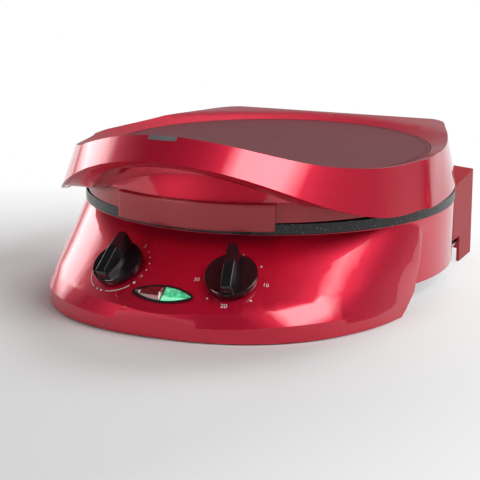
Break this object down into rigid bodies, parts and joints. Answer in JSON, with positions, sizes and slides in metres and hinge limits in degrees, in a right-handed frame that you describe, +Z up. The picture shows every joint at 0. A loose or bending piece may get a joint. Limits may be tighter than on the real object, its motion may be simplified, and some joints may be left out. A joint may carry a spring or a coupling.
{
  "type": "electric pie maker",
  "caption": "Round countertop pie maker with a sloped front control panel, two turning knobs, a fixed heated pan and a rear-hinged lid that swings up past vertical.",
  "frame": {"origin": "on the table, under the middle of the bounding box", "axes": "+Z up, -Y towards the front with the control panel, +X to the viewer's right as they face the front"},
  "size_m": [0.3278, 0.412, 0.1549],
  "materials": {
    "red_enamel": "gloss metallic red paint on plastic",
    "satin_red": "satin brownish red, moulded",
    "top_panel_red": "matt brownish red, moulded",
    "speckled_coating": "black non-stick coating with white specks",
    "zinc_steel": "zinc-plated sheet",
    "screw_steel": "plated, satin",
    "shield_steel": "bright sheet",
    "shaft_steel": "ground, satin",
    "hinge_steel": "black painted, satin",
    "hinge_black": "black painted, satin",
    "element_sheath": "dark, heat-stained",
    "brass_parts": "plain",
    "ceramic": "cream ceramic",
    "foot_rubber": "matt",
    "black_plastic": "matt",
    "grey_plastic": "matt grey",
    "knob_black": "gloss black",
    "red_lens": "translucent red",
    "green_lens": "translucent green, lit",
    "lamp_glass": "clear"
  },
  "bodies": {
    "base": {"base_housing": "red_enamel", "base_plate": "zinc_steel", "rubber_feet": "foot_rubber", "base_screws": "screw_steel", "pan": "speckled_coating", "pan_nuts": "screw_steel", "lower_heat_shield": "shield_steel", "lower_element": "element_sheath", "lower_element_seals": "ceramic", "lower_element_clips": "shield_steel", "thermal_fuse": "brass_parts", "fuse_clip": "shield_steel", "terminal_block": "ceramic", "cord_bushing": "black_plastic", "thermostat_body": "zinc_steel", "thermostat_nut": "screw_steel", "timer_body": "zinc_steel", "timer_nut": "screw_steel", "indicator_frame": "black_plastic", "red_lens": "red_lens", "green_lens": "green_lens", "lamp_holder": "black_plastic", "neon_lamps": "lamp_glass", "hinge_block_left": "hinge_black", "hinge_block_right": "hinge_black", "hinge_pin_left": "shaft_steel", "hinge_pin_right": "shaft_steel"},
    "lid": {"lid_shell": "red_enamel", "lid_top_panel": "top_panel_red", "visor_insert": "grey_plastic", "lid_collar": "satin_red", "front_guard": "satin_red", "handle_scoop": "red_enamel", "upper_heat_shield": "shield_steel", "upper_element": "element_sheath", "upper_element_clips": "shield_steel", "lid_screws": "screw_steel", "arm_screws": "screw_steel", "hinge_arm_left": "hinge_steel", "hinge_arm_right": "hinge_steel"},
    "thermostat": {"thermostat_shaft": "shaft_steel", "thermostat_knob": "knob_black"},
    "timer": {"timer_shaft": "shaft_steel", "timer_knob": "knob_black"}
  },
  "joints": [
    {"name": "lid_hinge", "type": "hinge", "parent": "base", "child": "lid", "pos_m": [0, 0.196, 0.091], "axis": [-1, 0, 0], "range_deg": [0, 100]},
    {"name": "thermostat_turn", "type": "hinge", "parent": "base", "child": "thermostat", "pos_m": [-0.0485, -0.16761, 0.0433], "axis": [0.1207, 0.5678, -0.8143], "range_deg": [0, 270]},
    {"name": "timer_turn", "type": "hinge", "parent": "base", "child": "timer", "pos_m": [0.0485, -0.16761, 0.0433], "axis": [-0.1207, 0.5678, -0.8143], "range_deg": [0, 300]}
  ]
}
